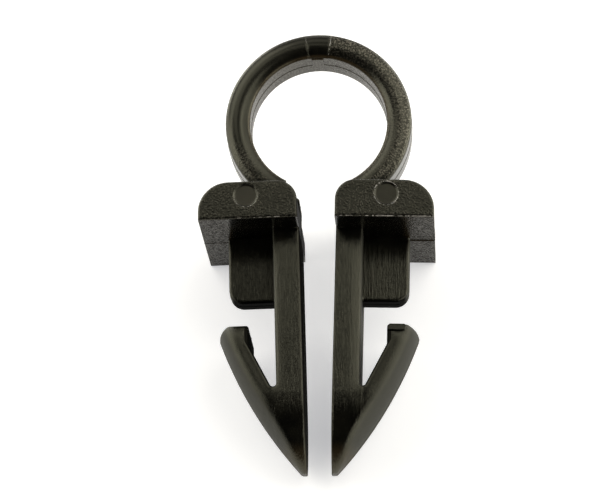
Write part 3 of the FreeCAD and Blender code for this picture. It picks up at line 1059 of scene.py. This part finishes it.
def floor_material(studio):
    """A pale floor that is white where it is looked at or mirrored, and that the clip shades."""
    material = new_material("pale_floor")
    tree = material.node_tree
    rays = Signal.make(tree, "ShaderNodeLightPath")
    seen = Signal.of(rays, "Is Camera Ray").most(Signal.of(rays, "Is Glossy Ray"))
    seen = seen.most(Signal.of(rays, "Is Transmission Ray"))
    plain = Signal.new(tree, "ShaderNodeBsdfDiffuse", sockets={"Color": (*studio.floor_colour, 1.0)})
    sockets = {"Color": (*studio.white, 1.0), "Strength": 1.0}
    lift = Signal.new(tree, "ShaderNodeEmission", sockets=sockets)
    white = Signal.new(tree, "ShaderNodeAddShader", sockets={0: plain, 1: lift})
    shown = Signal.new(tree, "ShaderNodeMixShader", sockets={"Fac": seen, 1: plain, 2: white})
    end_material(tree, shown)
    return material


def softbox(studio, name, azimuth, tilt, width, height, radiance):
    """A soft lamp that faces the clip: tilt is from straight up, and azimuth from the clip's right."""
    lamp = bpy.data.lights.new(name, "AREA")
    lamp.shape = "RECTANGLE"
    lamp.size = width
    lamp.size_y = height
    lamp.color = studio.lamp_colour
    lamp.energy = math.pi * width * height * radiance
    around, down = math.radians(azimuth), math.radians(tilt)
    level = math.sin(down)
    ray = Vector((level * math.cos(around), level * math.sin(around), math.cos(down)))
    rig = new_object(name, lamp)
    rig.location = ray * studio.distance
    rig.rotation_euler = (-ray).to_track_quat("-Z", "Y").to_euler()
    rig.visible_camera = False


def photo_camera(studio):
    """A camera where the photograph was taken from, worked out in the clip's own axes."""
    turn, lift = studio.azimuth, studio.elevation
    ahead = Vector((-math.sin(turn) * math.cos(lift), math.sin(lift), -math.cos(turn) * math.cos(lift)))
    level = Vector((math.cos(turn), 0.0, -math.sin(turn)))
    upright = level.cross(ahead)
    right = level * math.cos(studio.roll) + upright * math.sin(studio.roll)
    up = upright * math.cos(studio.roll) - level * math.sin(studio.roll)
    aim = Vector((studio.aim[0], studio.aim[1], 0.0)) * studio.pixel
    pose = Matrix((right, up, -ahead)).transposed().to_4x4()
    pose.translation = aim - ahead * studio.focal_pixels * studio.pixel
    lens = bpy.data.cameras.new("photo_camera")
    lens.sensor_fit = "HORIZONTAL"
    lens.sensor_width = SENSOR_WIDTH
    lens.lens = studio.focal_pixels / FRAME_WIDTH * SENSOR_WIDTH
    lens.clip_start = NEAREST_VIEW
    camera = new_object("photo_camera", lens)
    camera.matrix_world = CLIP @ pose
    bpy.context.scene.camera = camera


class CLIP_OT_studio(bpy.types.Operator):
    """Set up the floor, the lamps and the camera"""

    bl_idname = "clip.studio"
    bl_label = "Studio"

    def execute(self, context):
        studio = context.scene.clip_studio
        mesh = bpy.data.meshes.new("floor")
        corners = ((-1, -1), (1, -1), (1, 1), (-1, 1))
        mesh.from_pydata([(x * FLOOR_HALF, y * FLOOR_HALF, 0) for x, y in corners], [], [(0, 1, 2, 3)])
        mesh.materials.append(floor_material(studio))
        floor = new_object("floor", mesh)
        for name, numbers in SOFTBOXES.items():
            softbox(studio, name, *numbers)
        world = bpy.data.worlds.new("dim_room")
        world.use_nodes = True
        room = world.node_tree.nodes["Background"]
        room.inputs["Color"].default_value = (ROOM_GREY, ROOM_GREY, ROOM_GREY, 1)
        context.scene.world = world
        context.scene.view_settings.view_transform = "Standard"
        photo_camera(studio)
        return {"FINISHED"}


OPERATORS = (
    CLIP_OT_nylon,
    CLIP_OT_parting_ridge,
    CLIP_OT_flash,
    CLIP_OT_barb_land,
    CLIP_OT_ring_strip,
    CLIP_OT_studio,
)


class CLIP_PT_finish(bpy.types.Panel):
    """Lists what the finish is made of"""

    bl_idname = "CLIP_PT_finish"
    bl_label = "Routing clip"
    bl_space_type = "VIEW_3D"
    bl_region_type = "UI"
    bl_category = "Clip"

    def draw(self, context):
        for operator in OPERATORS:
            self.layout.operator(operator.bl_idname)


GROUPS = {"nylon_finish": NylonFinish, "mould_marks": MouldMarks, "clip_studio": Studio}
CLASSES = (*GROUPS.values(), *OPERATORS, CLIP_PT_finish)


def register():
    for made in CLASSES:
        bpy.utils.register_class(made)
    for name, group in GROUPS.items():
        setattr(bpy.types.Scene, name, PointerProperty(type=group))


def unregister():
    for name in GROUPS:
        delattr(bpy.types.Scene, name)
    for made in reversed(CLASSES):
        bpy.utils.unregister_class(made)


def main():
    register()
    bpy.ops.clip.nylon()
    bpy.ops.clip.parting_ridge()
    bpy.ops.clip.flash()
    bpy.ops.clip.barb_land()
    bpy.ops.clip.ring_strip()
    bpy.ops.clip.studio()


if __name__ == "__main__":
    main()
